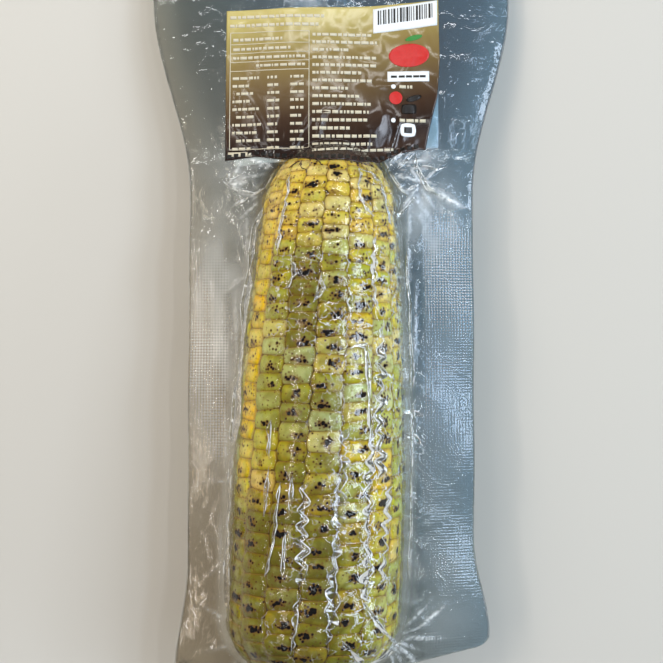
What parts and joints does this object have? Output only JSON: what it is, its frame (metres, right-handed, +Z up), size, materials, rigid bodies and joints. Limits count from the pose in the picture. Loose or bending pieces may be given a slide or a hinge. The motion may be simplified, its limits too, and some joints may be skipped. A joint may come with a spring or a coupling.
{
  "type": "packed grilled corn cob",
  "caption": "Grilled corn cob with full kernels and char marks, vacuum-packed in a clear film bag that has a flat printed header past the cob's tip.",
  "frame": {"origin": "middle of the underside of the whole pack, on the table", "axes": "+Z up, +Y along the cob from its butt towards the bag's printed header, +X to the right when the header points away"},
  "size_m": [0.11, 0.2286, 0.0498],
  "materials": {
    "cob": null,
    "bag": "clear gloss film",
    "print_near": "printed film",
    "print_far": "white back of printed film"
  },
  "bodies": {
    "root": {"cob": "cob", "bag": "bag", "print_near": "print_near", "print_far": "print_far"}
  },
  "joints": []
}
